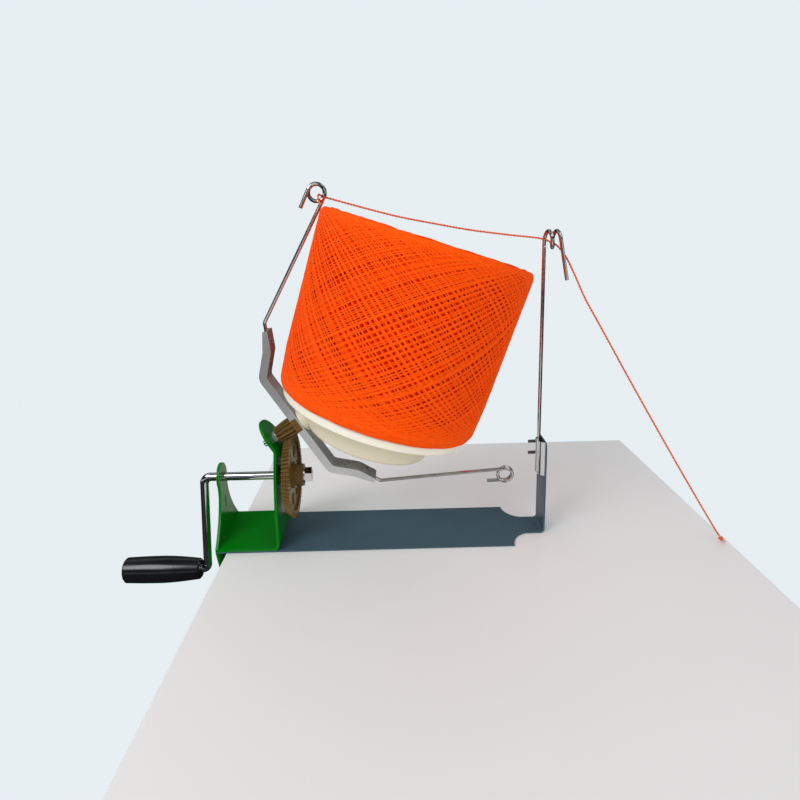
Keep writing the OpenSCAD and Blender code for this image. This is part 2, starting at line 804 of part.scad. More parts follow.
module flyer_pinion() {
    apex = -hub_dist;
    rotation = 180 / pinion_teeth;
    bore_r = spindle_d / 2 + run_gap;
    color("peru")
        at_flyer()
            difference() {
                union() {
                    intersection() {
                        translate([0, 0, apex])
                            rotate([0, 0, rotation])
                                bevel_run(pinion_teeth, crank_module, long_shift, pinion_cone,
                                    hub_dist + pinion_front, hub_dist + pinion_back);
                        translate([0, 0, pinion_back])
                            cylinder(r = crank_module * (pinion_teeth / 2 + 1.2), h = pinion_l);
                    }
                    translate([-block_w / 2, -channel_w / 2, pinion_front])
                        cube([block_w, channel_w, web_s - pinion_front]);
                    translate([0, 0, web_s - 1])
                        cylinder(r = sleeve_r, h = drive_toe - web_s + 1);
                }
                translate([0, 0, pinion_back - 1])
                    cylinder(r = bore_r, h = drive_toe - pinion_back + 2);
            }
}

module flyer_channel() {
    arm = concat(mirrored(half_arm), [for (i = [1:len(half_arm) - 1]) half_arm[i]]);
    color("lightsteelblue")
        at_flyer()
            difference() {
                rotate([90, 0, 0])
                    union() {
                        translate([0, 0, -channel_w / 2])
                            linear_extrude(channel_w)
                                channel_band(arm, web_s, channel_d / 2);
                        for (side = [0, channel_w - channel_t])
                            translate([0, 0, side - channel_w / 2])
                                linear_extrude(channel_t)
                                    flange_band(arm);
                    }
                translate([-block_w / 2 - run_gap, -channel_w, channel_back - 3])
                    cube([block_w + 2 * run_gap, 2 * channel_w, web_s - channel_back + 3]);
                cylinder(r = sleeve_r + run_gap, h = 10);
                for (side = [-1, 1])
                    hook_place(side)
                        wire_slot(side);
            }
}
// Band of the arm's profile, drawn with the axis upwards and the outward way across
module channel_band(arm, from, to) {
    polygon([for (p = band(arm, from, to)) [p[1], p[0]]]);
}
// Side flange, whose free edge comes in towards the web at both ends of the arm
module flange_band(arm) {
    last = len(arm) - 1;
    edge = offset_path(arm, channel_back);
    tip = offset_path(arm, web_s - flange_tip);
    free = [for (i = [0:last]) i == 0 || i == last ? tip[i] : edge[i]];
    polygon([for (p = concat(free, reversed(offset_path(arm, web_s + 0.2)))) [p[1], p[0]]]);
}
// Slot through the web, long enough for the wire's hooked bend
module wire_slot(side) {
    slot_d = wire_d + 0.6;
    for (x = [0, side * hook_slot])
        translate([x, 0, 0])
            cylinder(d = slot_d, h = 8);
    translate([min(0, side * hook_slot), -slot_d / 2, 0])
        cube([hook_slot, slot_d, 8]);
}
hook_at = arm_end - hook_back * arm_dir;
module hook_place(side) {
    a = atan2(arm_in[1], arm_in[0]);
    translate([side * hook_at[1], 0, hook_at[0]])
        rotate([0, side * a, 0])
            children();
}

// One flyer wire: hooked through the arm, run out to its eye, and ended in a tail
wire_bend = arm_end + wire_out * arm_dir + wire_line * arm_in;
eye_start = eye_tangent(wire_bend, eye_c, eye_r);
function eye_tangent(from, centre, r) =
    let (d = norm(centre - from), a = atan2(centre[1] - from[1], centre[0] - from[0]))
    a - asin(r / d) - 90;
eye_turn = tail_angle + 360 - eye_start;
eye_steps = 34;
eye_pitch = wire_d + 0.3;
wire_stem = round_path([hook_at + (channel_d / 2 + 2) * arm_in, hook_at + wire_line * arm_in,
    wire_bend, eye_c + eye_r * turned(eye_start)], 3, 5);
eye_points = [for (k = [0:eye_steps])
    let (u = k / eye_steps)
    concat(eye_c + eye_r * turned(eye_start + eye_turn * u), eye_pitch * eye_turn / 360 * u)];
eye_drift = eye_pitch * eye_turn / 360;
tail_dir = turned(tail_angle + 90);
wire_path = concat([for (i = [0:len(wire_stem) - 2]) concat(wire_stem[i], 0)], eye_points,
    [concat(eye_c + eye_r * turned(tail_angle) + 2 * tail_dir, eye_drift),
        concat(eye_c + eye_r * turned(tail_angle) + eye_tail * tail_dir, eye_drift)]);

module flyer_wire(side) {
    color("gainsboro")
        at_flyer()
            sweep([for (p = wire_path) [-side * p[1], -side * p[2], p[0]]], wire_d, 12, [0, 1, 0]);
}
module upper_wire() {
    flyer_wire(1);
}
module lower_wire() {
    flyer_wire(-1);
}

module drive_bevel() {
    color("peru")
        at_flyer()
            difference() {
                union() {
                    translate([0, 0, channel_d / 2])
                        cylinder(r = 6.4, h = drive_s - channel_d / 2);
                    translate([0, 0, crossing])
                        mirror([0, 0, 1])
                            bevel_run(drive_teeth, ring_module, long_shift, drive_cone,
                                crossing - drive_s, crossing - drive_toe);
                }
                cylinder(r = sleeve_r + run_gap, h = drive_toe + 5);
            }
}

module carrier_plate() {
    color("gray")
        difference() {
            union() {
                at_bobbin() {
                    translate([0, 0, carrier_floor])
                        cylinder(r = carrier_r, h = carrier_t);
                    translate([0, 0, carrier_floor - 5])
                        cylinder(r = boss_r, h = boss_top - carrier_floor + 5);
                }
                at_flyer()
                    translate([0, 0, socket_s])
                        cylinder(r = 6.5, h = socket_l);
            }
            at_bobbin() {
                translate([0, 0, carrier_floor - 6])
                    cylinder(d = shaft_d + 2 * run_gap, h = 20);
                for (a = lug_angles)
                    rotate([0, 0, a])
                        translate([lug_ring_r, 0, carrier_floor - 1])
                            cylinder(d = 3.2, h = carrier_t + 2);
            }
            at_flyer()
                translate([0, 0, socket_s - 1])
                    cylinder(d = spindle_d + 2 * run_gap, h = spindle_front - socket_s + 1.2);
        }
}

module gear_housing() {
    inner = bowl_floor_r - bowl_t;
    color("beige") {
        at_bobbin()
            housing_lugs();
        difference() {
            union() {
                at_bobbin() {
                    rotate_extrude()
                        polygon(concat([[0, bowl_foot]], corner_arc([0, bowl_foot],
                            [bowl_floor_r, bowl_foot], [bowl_mouth_r, bowl_mouth], 4, 6),
                            [[bowl_mouth_r, bowl_mouth], [0, bowl_mouth]]));
                }
                at_flyer()
                    translate([0, 0, channel_d / 2 + 0.5])
                        cylinder(r = pod_r, h = socket_s - channel_d / 2);
            }
            at_bobbin()
                rotate_extrude()
                    polygon([[0, bowl_floor], [inner - 2, bowl_floor], [inner, bowl_floor + 2],
                        [bowl_mouth_r - bowl_t, bowl_mouth], [bowl_mouth_r - bowl_t, 5], [0, 5]]);
            at_flyer() {
                translate([0, 0, drive_s - 8.5])
                    cylinder(r = pod_r - bowl_t, h = 30);
                cylinder(r = 7, h = 20);
            }
        }
    }
}

module housing_lugs() {
    for (a = lug_angles)
        rotate([0, 0, a])
            difference() {
                union() {
                    translate([lug_ring_r, 0, -lug_q])
                        cylinder(r = 4, h = lug_q + carrier_floor);
                    translate([lug_ring_r, -4, -lug_q])
                        cube([lug_reach - lug_ring_r, 8, lug_q + carrier_floor]);
                }
                translate([lug_ring_r, 0, -lug_q - 1])
                    cylinder(d = 3.1, h = 10);
            }
}

module housing_screws() {
    color("silver")
        at_bobbin()
            for (a = lug_angles)
                rotate([0, 0, a])
                    translate([lug_ring_r, 0, carrier_top]) {
                        translate([0, 0, -7.5])
                            cylinder(d = 3, h = 7.5);
                        cylinder(d = 5.6, h = 2);
                    }
}

module bobbin_shaft() {
    color("silver")
        at_bobbin() {
            translate([0, 0, shaft_foot])
                cylinder(d = shaft_d, h = shaft_top - shaft_foot);
            translate([0, 0, boss_top + 0.2])
                cylinder(d = shaft_d + 7, h = hub_q - boss_top - 0.2);
        }
}
module ring_gear() {
    color("peru")
        at_bobbin()
            difference() {
                union() {
                    translate([0, 0, bobbin_drop])
                        mirror([0, 0, 1])
                            bevel_run(ring_teeth, ring_module, -long_shift, ring_cone,
                                bobbin_drop - ring_q, bobbin_drop - ring_toe_q);
                    translate([0, 0, ring_q])
                        cylinder(r = 10, h = carrier_floor - 5 - 0.3 - ring_q);
                }
                translate([0, 0, ring_q + 3])
                    ring(ring_module * ring_teeth / 2 - 9, 10, 12);
                translate([0, 0, ring_q - 1])
                    cylinder(d = shaft_d + 2 * run_gap, h = 20);
            }
}
module shaft_clip() {
    color("dimgray")
        at_bobbin()
            translate([0, 0, ring_q - 1.1])
                ring(6.5, shaft_d / 2 + run_gap, 1);
}

module bobbin() {
    wall = 1.8;
    color("ivory")
        at_bobbin()
            rotate_extrude()
                polygon([[shaft_d / 2 + run_gap, hub_q], [10, hub_q], [10, plate_q],
                    [rim_r - 2.5, plate_q], [rim_r - 2.5, 0.6], [rim_r - 1.9, 0], [rim_r - 0.7, 0],
                    [rim_r, 1], [rim_r, rim_h - 1], [rim_r - 0.7, rim_h], [rim_r - 1.9, rim_h],
                    [rim_r - 3.4, plate_q + bobbin_t], [cone_foot_r, plate_q + bobbin_t],
                    [cone_top_r, cone_h], [cone_top_r - wall, cone_h],
                    [cone_foot_r - wall, plate_q + bobbin_t], [10, plate_q + bobbin_t],
                    [10, shaft_top + 5], [shaft_d / 2 + run_gap, shaft_top + 5]]);
}

// Outer curve of the ball as [radius, height]
ball_foot = rim_h + fit_gap;
ball_edge = [for (k = [0:8])
    let (a = 90 * k / 8)
    [ball_r - ball_round + ball_round * cos(a), ball_top - ball_round + ball_round * sin(a)]];
module yarn_ball() {
    plate_top = plate_q + bobbin_t + fit_gap;
    color("darkorange")
        at_bobbin()
            rotate_extrude()
                polygon(concat([[cone_foot_r + fit_gap, plate_top], [rim_r - 3.6, plate_top],
                    [rim_r - 2.4, ball_foot], [ball_foot_r, ball_foot], [ball_foot_r + 2, 12],
                    [ball_foot_r + 4, 42], [ball_r - 0.7, 114]], ball_edge,
                    [[cone_top_r + 3 * fit_gap, ball_top - ball_dish]]));
}

// Post, two turns of pigtail round the yarn, and a tail
pigtail_steps = 40;
post_points = concat([[post_x, 0, post_foot], [post_x, 0, post_h - 1]],
    [for (k = [0:pigtail_steps])
        let (u = 1.5 * k / pigtail_steps, a = 360 * u)
        [post_x + pigtail_pitch * u, -pigtail_r + pigtail_r * cos(a), post_h + pigtail_r * sin(a)]],
    [[post_x + 1.5 * pigtail_pitch + 0.2, -2 * pigtail_r, post_h - 1],
        [post_x + 1.5 * pigtail_pitch + pigtail_splay, -2 * pigtail_r, post_h - pigtail_tail]]);
module guide_post() {
    color("gainsboro")
        at_tongue()
            sweep(post_points, post_d, 12, [1, 0, 0]);
}
// Half-round rib of the sleeve, open behind, on the side away from its screws
module sleeve_rib() {
    r = (pow(sleeve_rib_w / 2, 2) + pow(sleeve_rib_h, 2)) / (2 * sleeve_rib_h);
    translate([bend_r, sleeve_rib_y, sleeve_foot])
        difference() {
            translate([r - sleeve_rib_h, 0, 0])
                cylinder(r = r, h = sleeve_l);
            translate([r - sleeve_rib_h, 0, -1])
                cylinder(r = r - sleeve_t, h = sleeve_l + 2);
            translate([0, -r - 1, -1])
                cube([2 * r, 2 * r + 2, sleeve_l + 2]);
        }
}
module post_sleeve() {
    color("silver")
        at_tongue()
            difference() {
                union() {
                    translate([post_x, 0, sleeve_foot])
                        cylinder(r = sleeve_wall_r, h = sleeve_l);
                    translate([bend_r - sleeve_t, 0, sleeve_foot])
                        cube([sleeve_t, sleeve_w, sleeve_l]);
                    sleeve_rib();
                }
                translate([post_x, 0, sleeve_foot - 1])
                    cylinder(d = post_d + 2 * run_gap, h = sleeve_l + 2);
                for (z = sleeve_screw_z)
                    translate([bend_r - 5, sleeve_screw_y, z])
                        rotate([0, 90, 0])
                            cylinder(d = sleeve_screw_d + 2 * run_gap, h = 10);
            }
}
module sleeve_screws() {
    color("dimgray")
        at_tongue()
            for (z = sleeve_screw_z)
                translate([bend_r + strip_t, sleeve_screw_y, z])
                    rotate([0, -90, 0]) {
                        cylinder(d = sleeve_screw_d, h = sleeve_screw_l);
                        translate([0, 0, -2])
                            cylinder(d = sleeve_screw_d + 2.6, h = 2);
                        translate([0, 0, strip_t + sleeve_t])
                            hex_nut(sleeve_nut_af, sleeve_nut_t, sleeve_screw_d + 2 * run_gap);
                    }
}

module yarn(route) {
    color("orangered")
        sweep(route, yarn_d, 8, [0, 1, 0]);
}
module yarn_takeup() {
    yarn(takeup_route);
}
module yarn_lead() {
    yarn(lead_route);
}
module yarn_feed() {
    yarn(feed_route);
}
module yarn_knot() {
    color("orangered")
        translate(knot_at)
            sphere(r = 2.6);
}

side_plate();
gear_bracket();
base_strip();
base_screws();
axle_bushes();
weld_nut();
clamp_screw();
clamp_bar();
clamp_pad();
crank_rod();
crank_gear();
crank_nut();
grip();
grip_cap();
spindle();
spindle_nuts();
front_washer();
flyer_pinion();
flyer_channel();
upper_wire();
lower_wire();
drive_bevel();
carrier_plate();
gear_housing();
housing_screws();
bobbin_shaft();
ring_gear();
shaft_clip();
bobbin();
yarn_ball();
guide_post();
post_sleeve();
sleeve_screws();
yarn_takeup();
yarn_lead();
yarn_feed();
yarn_knot();
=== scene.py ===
import json
import math
import random

import bmesh
import bpy
from mathutils import Matrix, Vector


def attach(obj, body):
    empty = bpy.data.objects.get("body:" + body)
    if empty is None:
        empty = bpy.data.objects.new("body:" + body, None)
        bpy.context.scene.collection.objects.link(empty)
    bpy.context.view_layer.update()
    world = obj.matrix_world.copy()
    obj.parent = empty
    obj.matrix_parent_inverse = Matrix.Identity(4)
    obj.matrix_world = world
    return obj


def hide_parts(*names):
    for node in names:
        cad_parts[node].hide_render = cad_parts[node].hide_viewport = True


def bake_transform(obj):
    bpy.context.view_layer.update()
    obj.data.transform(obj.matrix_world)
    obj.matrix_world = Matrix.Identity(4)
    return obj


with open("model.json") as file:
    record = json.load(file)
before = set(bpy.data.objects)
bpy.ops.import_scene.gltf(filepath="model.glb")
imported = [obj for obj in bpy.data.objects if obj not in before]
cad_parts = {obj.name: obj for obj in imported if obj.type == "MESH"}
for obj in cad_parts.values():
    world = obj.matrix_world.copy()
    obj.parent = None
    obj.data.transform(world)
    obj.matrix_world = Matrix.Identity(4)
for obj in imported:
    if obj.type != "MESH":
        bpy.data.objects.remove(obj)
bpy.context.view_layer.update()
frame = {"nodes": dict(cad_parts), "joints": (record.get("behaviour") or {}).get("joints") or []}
nodes = frame["nodes"]
scene = bpy.context.scene
mm = 0.001


# Camera, fitted to the photograph

photoCamera = {
    "place": (0.16571, -0.52615, 0.28485),
    "down": 16.232,       # degrees below level
    "roll": -1.2367,
    "yaw": 0.4762,
    "lens": 26.775,
    "sensor": 36,
    "near": 0.01,
    "far": 20,
}


def setCamera(spec):
    down, roll, yaw = (math.radians(spec[k]) for k in ("down", "roll", "yaw"))
    right = Vector((math.cos(yaw), -math.sin(yaw), 0))
    level = Vector((math.sin(yaw), math.cos(yaw), 0))
    ahead = level * math.cos(down) - Vector((0, 0, math.sin(down)))
    up = right.cross(ahead)
    side = right * math.cos(roll) + up * math.sin(roll)
    top = up * math.cos(roll) - right * math.sin(roll)
    data = bpy.data.cameras.new("photoCamera")
    data.sensor_width, data.lens = spec["sensor"], spec["lens"]
    data.clip_start, data.clip_end = spec["near"], spec["far"]
    camera = bpy.data.objects.new("photoCamera", data)
    scene.collection.objects.link(camera)
    turned = Matrix((side, top, -ahead)).transposed().to_4x4()
    camera.matrix_world = Matrix.Translation(spec["place"]) @ turned
    scene.camera = camera


setCamera(photoCamera)


# Shader node groups

def newGroup(name, inputs, outputs):
    tree = bpy.data.node_groups.new(name, "ShaderNodeTree")
    for direction, sockets in (("INPUT", inputs), ("OUTPUT", outputs)):
        for socketName, kind in sockets:
            tree.interface.new_socket(socketName, in_out=direction, socket_type="NodeSocket" + kind)
    return tree, tree.nodes.new("NodeGroupInput"), tree.nodes.new("NodeGroupOutput")


def noiseNode(tree, vector, scale, detail):
    noise = tree.nodes.new("ShaderNodeTexNoise")
    noise.inputs["Detail"].default_value = detail
    tree.links.new(vector, noise.inputs["Vector"])
    tree.links.new(scale, noise.inputs["Scale"])
    return noise.outputs["Fac"]


surfaceDetail = {
    "patchDetail": 3.0,
    "patchRange": (0.3, 0.7),    # patches at these values are the smoothest and the roughest
    "grainDetail": 2.0,
    "grainHeight": 0.0003,       # metres
}


# Two close tones, a patchy roughness and a fine grain, for every finish
def makeHandledSurface():
    tree, given, result = newGroup(
        "handledSurface",
        [("Vector", "Vector"), ("Tone", "Color"), ("Other Tone", "Color"), ("Patches", "Float"),
         ("Grain", "Float"), ("Smooth", "Float"), ("Rough", "Float"), ("Relief", "Float")],
        [("Color", "Color"), ("Roughness", "Float"), ("Normal", "Vector")])
    links = tree.links
    patches = noiseNode(tree, given.outputs["Vector"], given.outputs["Patches"],
                        surfaceDetail["patchDetail"])
    tones = tree.nodes.new("ShaderNodeMix")
    tones.data_type = "RGBA"
    links.new(patches, tones.inputs["Factor"])
    links.new(given.outputs["Tone"], tones.inputs["A"])
    links.new(given.outputs["Other Tone"], tones.inputs["B"])
    spread = tree.nodes.new("ShaderNodeMapRange")
    lowest, highest = surfaceDetail["patchRange"]
    spread.inputs["From Min"].default_value, spread.inputs["From Max"].default_value = lowest, highest
    links.new(patches, spread.inputs["Value"])
    links.new(given.outputs["Smooth"], spread.inputs["To Min"])
    links.new(given.outputs["Rough"], spread.inputs["To Max"])
    grain = noiseNode(tree, given.outputs["Vector"], given.outputs["Grain"],
                      surfaceDetail["grainDetail"])
    bump = tree.nodes.new("ShaderNodeBump")
    bump.inputs["Distance"].default_value = surfaceDetail["grainHeight"]
    links.new(grain, bump.inputs["Height"])
    links.new(given.outputs["Relief"], bump.inputs["Strength"])
    links.new(tones.outputs["Result"], result.inputs["Color"])
    links.new(spread.outputs["Result"], result.inputs["Roughness"])
    links.new(bump.outputs["Normal"], result.inputs["Normal"])
    return tree


handledSurface = makeHandledSurface()

# Two tones, the scales of patches and grain, the smoothest and roughest value, and the grain's relief
finishes = {
    "greenEnamel": {"tone": (0.0, 0.17, 0.005), "other": (0.0, 0.135, 0.003), "patches": 30,
                    "grain": 700, "rough": (0.16, 0.26), "relief": 0.02, "specular": 0.14},
    "slateEnamel": {"tone": (0.05, 0.095, 0.125), "other": (0.04, 0.08, 0.108), "patches": 25,
                    "grain": 900, "rough": (0.38, 0.52), "relief": 0.06, "specular": 0.3},
    "chrome": {"tone": (0.74, 0.74, 0.74), "other": (0.62, 0.62, 0.63), "patches": 60,
               "grain": 300, "rough": (0.05, 0.1), "relief": 0.01, "metal": 1},
    "drawnWire": {"tone": (0.62, 0.6, 0.58), "other": (0.46, 0.43, 0.41), "patches": 90,
                  "grain": 1200, "rough": (0.1, 0.2), "relief": 0.01, "metal": 1},
    "pressedSteel": {"tone": (0.62, 0.63, 0.62), "other": (0.5, 0.51, 0.51), "patches": 45,
                     "grain": 1500, "rough": (0.24, 0.36), "relief": 0.02, "metal": 0.75},
    "darkZinc": {"tone": (0.17, 0.17, 0.17), "other": (0.1, 0.1, 0.1), "patches": 150,
                 "grain": 1500, "rough": (0.3, 0.45), "relief": 0.08, "metal": 1},
    "tanNylon": {"tone": (0.2, 0.118, 0.036), "other": (0.1, 0.054, 0.014), "patches": 140,
                 "grain": 1800, "rough": (0.28, 0.4), "relief": 0.1, "specular": 0.12},
    # painted shade: the tan nylon made darker, for the gears that sit in shade
    "nylonPaintedShade": {"tone": (0.17, 0.105, 0.042), "other": (0.095, 0.056, 0.02), "patches": 170,
                  "grain": 1800, "rough": (0.28, 0.4), "relief": 0.1},
    "blackGrip": {"tone": (0.005, 0.005, 0.006), "other": (0.009, 0.009, 0.01), "patches": 50,
                  "grain": 600, "rough": (0.14, 0.24), "relief": 0.02, "specular": 0.45},
    "padRubber": {"tone": (0.03, 0.03, 0.03), "other": (0.045, 0.045, 0.043), "patches": 120,
                  "grain": 1600, "rough": (0.6, 0.75), "relief": 0.2},
    "creamPlastic": {"tone": (0.9, 0.86, 0.73), "other": (0.86, 0.81, 0.67), "patches": 18,
                     "grain": 900, "rough": (0.3, 0.42), "relief": 0.04},
    # painted shade: the bobbin's cream made darker, for the housing in the shade under the ball
    "housingPaintedShade": {"tone": (0.76, 0.69, 0.53), "other": (0.7, 0.63, 0.47), "patches": 18,
                       "grain": 900, "rough": (0.34, 0.46), "relief": 0.04, "specular": 0.3},
    "ballYarn": {"tone": (1.0, 0.115, 0.002), "other": (0.95, 0.07, 0.0), "patches": 260,
                 "grain": 2600, "rough": (0.75, 0.9), "relief": 0.7, "specular": 0.12},
    # painted shade: the same yarn a little darker, for the middle layer that lies in the gaps' shade
    "middleYarnPaintedShade": {"tone": (0.98, 0.07, 0.0), "other": (0.88, 0.04, 0.0), "patches": 260,
                   "grain": 2600, "rough": (0.75, 0.9), "relief": 0.7, "specular": 0.1},
    # painted shade: the same yarn made dark red, for the shade deep in the gaps between wraps
    "deepYarnPaintedShade": {"tone": (0.95, 0.025, 0.0), "other": (0.8, 0.012, 0.0), "patches": 260,
                 "grain": 900, "rough": (0.8, 0.9), "relief": 0.9, "specular": 0.08},
    "runningYarn": {"tone": (0.86, 0.21, 0.085), "other": (0.55, 0.06, 0.02), "patches": 650,
                    "grain": 2600, "rough": (0.7, 0.85), "relief": 0.7, "sheen": 0.25},
    "paleSlab": {"tone": (0.76, 0.76, 0.75), "other": (0.72, 0.72, 0.715), "patches": 6,
                 "grain": 300, "rough": (0.5, 0.62), "relief": 0.03},
}


fuzz = {"roughness": 0.5, "tint": (1, 0.45, 0.15, 1)}    # the sheen of loose fibres on yarn


def makeFinish(name, spec):
    material = bpy.data.materials.new(name)
    material.use_nodes = True
    tree = material.node_tree
    shader = tree.nodes["Principled BSDF"]
    coordinates = tree.nodes.new("ShaderNodeTexCoord")
    surface = tree.nodes.new("ShaderNodeGroup")
    surface.node_tree = handledSurface
    tree.links.new(coordinates.outputs["Object"], surface.inputs["Vector"])
    for socketName, value in (("Tone", (*spec["tone"], 1)), ("Other Tone", (*spec["other"], 1)),
                              ("Patches", spec["patches"]), ("Grain", spec["grain"]),
                              ("Smooth", spec["rough"][0]), ("Rough", spec["rough"][1]),
                              ("Relief", spec["relief"])):
        surface.inputs[socketName].default_value = value
    tree.links.new(surface.outputs["Color"], shader.inputs["Base Color"])
    tree.links.new(surface.outputs["Roughness"], shader.inputs["Roughness"])
    tree.links.new(surface.outputs["Normal"], shader.inputs["Normal"])
    shader.inputs["Metallic"].default_value = spec.get("metal", 0)
    shader.inputs["Specular IOR Level"].default_value = spec.get("specular", 0.5)
    if "sheen" in spec:
        shader.inputs["Sheen Weight"].default_value = spec["sheen"]
        shader.inputs["Sheen Roughness"].default_value = fuzz["roughness"]
        shader.inputs["Sheen Tint"].default_value = fuzz["tint"]
    return material


made = {name: makeFinish(name, spec) for name, spec in finishes.items()}
print("finishes made:", len(made))

nodeFinishes = {
    "greenEnamel": ["side_plate", "gear_bracket"],
    "slateEnamel": ["base_strip"],
    "chrome": ["crank_rod", "crank_nut", "post_sleeve", "spindle"],
    "drawnWire": ["upper_wire", "lower_wire", "guide_post"],
    "pressedSteel": ["flyer_channel", "base_screws", "clamp_screw", "clamp_bar", "spindle_nuts",
                     "front_washer", "carrier_plate", "housing_screws", "bobbin_shaft", "weld_nut",
                     "grip_cap"],
    "darkZinc": ["sleeve_screws", "shaft_clip"],
    "tanNylon": ["axle_bushes", "crank_gear", "flyer_pinion"],
    "nylonPaintedShade": ["drive_bevel", "ring_gear"],
    "blackGrip": ["grip"],
    "padRubber": ["clamp_pad"],
    "creamPlastic": ["bobbin"],
    "housingPaintedShade": ["gear_housing"],
}
for finish, names in nodeFinishes.items():
    for name in names:
        nodes[name].data.materials.clear()
        nodes[name].data.materials.append(made[finish])


# Helpers for new pieces

def addPiece(name, mesh, finish):
    piece = bpy.data.objects.new(name, mesh)
    scene.collection.objects.link(piece)
    mesh.materials.clear()
    mesh.materials.append(made[finish])
    return piece


# Round strands along several lines of points, as one mesh
def strandMesh(name, lines, thickness, closed=False, sides=1):
    curve = bpy.data.curves.new(name, "CURVE")
    curve.dimensions = "3D"
    curve.bevel_depth = thickness / 2
    curve.bevel_resolution = sides
    curve.use_fill_caps = not closed
    for line in lines:
        spline = curve.splines.new("POLY")
        spline.points.add(len(line) - 1)
        spline.points.foreach_set("co", [c for p in line for c in (*p, 1)])
        spline.use_cyclic_u = closed
        spline.use_smooth = True
    holder = bpy.data.objects.new(name, curve)
    scene.collection.objects.link(holder)
    bpy.context.view_layer.update()
    seen = holder.evaluated_get(bpy.context.evaluated_depsgraph_get())
    mesh = bpy.data.meshes.new_from_object(seen)
    bpy.data.objects.remove(holder)
    bpy.data.curves.remove(curve)
    mesh.name = name
    return mesh


# Ball of yarn, wound on the bobbin

bobbinJoint = next(joint for joint in frame["joints"] if joint["name"] == "bobbin_spin")
bobbinLean = Vector((0, 0, 1)).rotation_difference(Vector(bobbinJoint["axis"]))
bobbinPlace = Matrix.Translation(bobbinJoint["pos_m"]) @ bobbinLean.to_matrix().to_4x4()

# Millimetres, along and out from the bobbin's axis
ball = {
    "profile": [(7.8, 89.5), (12, 91.5), (42, 93.5), (114, 94.3), (156.5, 95)],    # height, radius
    "edgeRadius": 8,
    "foot": 8.4,
    "top": 164.5,
    "dish": [(22.9, 150.5), (87, 164.5)],    # radius and height at the cone and at the rim
    "middle": 88.7,                          # where the plane of a wrap crosses the bobbin's axis
    "lean": 0.81,                            # slope of a wrap's plane
    "lines": 79,                             # the gears bring each wrap back to one of these
    "pair": 0.12,                            # from a line to each of its two strands, in lines
    "drift": 0.055,                          # how far a line strays, in lines
    "jitter": 0.035,                         # how far a strand strays, in lines
    "strand": 1.1,
    "steps": 72,
    "arcSteps": 14,
    "halvings": 18,                          # how finely a wrap's height is found
    # name, inset, finish, slip up the ball, and shift round it in lines; the deeper layers' finishes
    # are darker, painted shade between the wraps
    "layers": [("ballWrapsOuter", 0.65, "ballYarn", -1.0, 0),
               ("ballWrapsMiddle", 1.4, "middleYarnPaintedShade", -1.2, 0),
               ("ballWrapsInner", 2.5, "deepYarnPaintedShade", -1.6, 0.5)],
    "slipSpread": 0.6,
    "insetSpread": (-0.1, 0.2),
    "strays": {"count": 18, "slip": (-2.5, -0.5), "inset": 0.75},
    "footArcs": {"count": 200, "slip": (-3, -9), "inset": (1, 1.7), "reach": (28, 40)},
    "rimArcs": {"count": 70, "slip": (-1, -6), "inset": (1, 2), "reach": (26, 40)},
    "topArcs": {"count": 900, "radii": (25, 87), "inset": (0.7, 1.6), "reach": 24, "steps": 8},
    "seed": 7,
}


def ballRadius(height, inset):
    edge = ball["top"] - ball["edgeRadius"]
    if height >= edge:
        rounding = ball["edgeRadius"] - inset
        reach = max(rounding ** 2 - (height - edge) ** 2, 0)
        return ball["profile"][-1][1] - ball["edgeRadius"] + math.sqrt(reach)
    for (lowZ, lowR), (highZ, highR) in zip(ball["profile"], ball["profile"][1:]):
        if height <= highZ:
            share = max(height - lowZ, 0) / (highZ - lowZ)
            return lowR + share * (highR - lowR) - inset
    return ball["profile"][-1][1] - inset


def dishHeight(radius):
    (lowR, lowZ), (highR, highZ) = ball["dish"]
    return lowZ + (highZ - lowZ) * (radius - lowR) / (highR - lowR)


def ballPoint(radius, angle, height):
    return bobbinPlace @ (Vector((radius * math.cos(angle), radius * math.sin(angle), height)) * mm)


# A wrap of yarn is where the flyer's plane cuts the ball, and turn is where that plane is lowest
def wrapPoints(turn, slip, inset, angles):
    line = []
    for angle in angles:
        lean = ball["lean"] * math.cos(angle - turn)
        low, high = ball["foot"], ball["top"] - inset
        for _ in range(ball["halvings"]):
            height = (low + high) / 2
            if height - ball["middle"] - slip + lean * ballRadius(height, inset) < 0:
                low = height
            else:
                high = height
        line.append(ballPoint(ballRadius(low, inset), angle, low))
    return line


def wholeWrap(turn, slip, inset):
    steps = ball["steps"]
    return wrapPoints(turn, slip, inset, [2 * math.pi * step / steps for step in range(steps)])


# Short arcs fill the foot and the rim, where each wrap turns back
def endArcs(draw, spec, about):
    arcs = []
    steps = ball["arcSteps"]
    for _ in range(spec["count"]):
        turn = draw.uniform(0, 2 * math.pi)
        slip = draw.uniform(*spec["slip"])
        inset = draw.uniform(*spec["inset"])
        reach = math.radians(draw.uniform(*spec["reach"]))
        angles = [turn + about + reach * (2 * step / steps - 1) for step in range(steps + 1)]
        arcs.append(wrapPoints(turn, slip, inset, angles))
    return arcs


# Earlier, smaller wraps show only as arcs on the dished top
def dishArcs(draw, spec):
    arcs = []
    inner, outer = spec["radii"]
    for index in range(spec["count"]):
        radius = inner + (outer - inner) * math.sqrt((index + 0.5) / spec["count"])
        turn = draw.uniform(0, 2 * math.pi)
        peak = dishHeight(radius) - draw.uniform(*spec["inset"])
        arc = []
        for step in range(spec["steps"] + 1):
            angle = math.radians(spec["reach"] * (2 * step / spec["steps"] - 1))
            drop = ball["lean"] * radius * (1 - math.cos(angle))
            arc.append(ballPoint(radius, turn + angle, peak - drop))
        arcs.append(arc)
    return arcs


